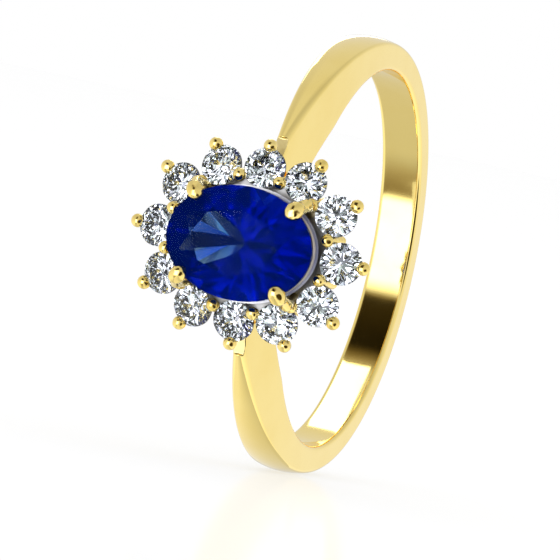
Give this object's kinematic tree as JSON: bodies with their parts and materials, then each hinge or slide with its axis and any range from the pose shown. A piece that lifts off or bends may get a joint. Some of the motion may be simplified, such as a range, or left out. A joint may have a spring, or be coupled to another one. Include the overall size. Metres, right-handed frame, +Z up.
{
  "type": "engagement ring",
  "caption": "Oval blue stone in four claws inside a halo of small round clear stones, on a plain polished yellow band with raised, tapering shoulders.",
  "frame": {"origin": "centre of the finger hole, half-way across the band", "axes": "+X along the axis of the finger; the head and its stones face -Y; +Z up, across the oval's short side"},
  "size_m": [0.0112, 0.0249, 0.0198],
  "materials": {
    "yellow_gold": "mirror-polished 18 ct yellow gold",
    "white_gold": "rhodium-plated white gold, satin to polished",
    "sapphire": "faceted and polished royal blue sapphire",
    "diamond": "faceted and polished colourless diamond"
  },
  "bodies": {
    "root": {"centre_claw_1": "yellow_gold", "centre_claw_2": "yellow_gold", "centre_claw_3": "yellow_gold", "centre_claw_4": "yellow_gold", "centre_collet": "white_gold", "diamond_01": "diamond", "diamond_02": "diamond", "diamond_03": "diamond", "diamond_04": "diamond", "diamond_05": "diamond", "diamond_06": "diamond", "diamond_07": "diamond", "diamond_08": "diamond", "diamond_09": "diamond", "diamond_10": "diamond", "diamond_11": "diamond", "diamond_12": "diamond", "gallery_rail": "yellow_gold", "halo_gallery": "white_gold", "inner_claw_01": "yellow_gold", "inner_claw_02": "yellow_gold", "inner_claw_03": "yellow_gold", "inner_claw_04": "yellow_gold", "inner_claw_05": "yellow_gold", "inner_claw_06": "yellow_gold", "inner_claw_07": "yellow_gold", "inner_claw_08": "yellow_gold", "inner_claw_09": "yellow_gold", "inner_claw_10": "yellow_gold", "inner_claw_11": "yellow_gold", "inner_claw_12": "yellow_gold", "outer_claw_01": "yellow_gold", "outer_claw_02": "yellow_gold", "outer_claw_03": "yellow_gold", "outer_claw_04": "yellow_gold", "outer_claw_05": "yellow_gold", "outer_claw_06": "yellow_gold", "outer_claw_07": "yellow_gold", "outer_claw_08": "yellow_gold", "outer_claw_09": "yellow_gold", "outer_claw_10": "yellow_gold", "outer_claw_11": "yellow_gold", "outer_claw_12": "yellow_gold", "sapphire": "sapphire", "shank": "yellow_gold"}
  },
  "joints": []
}
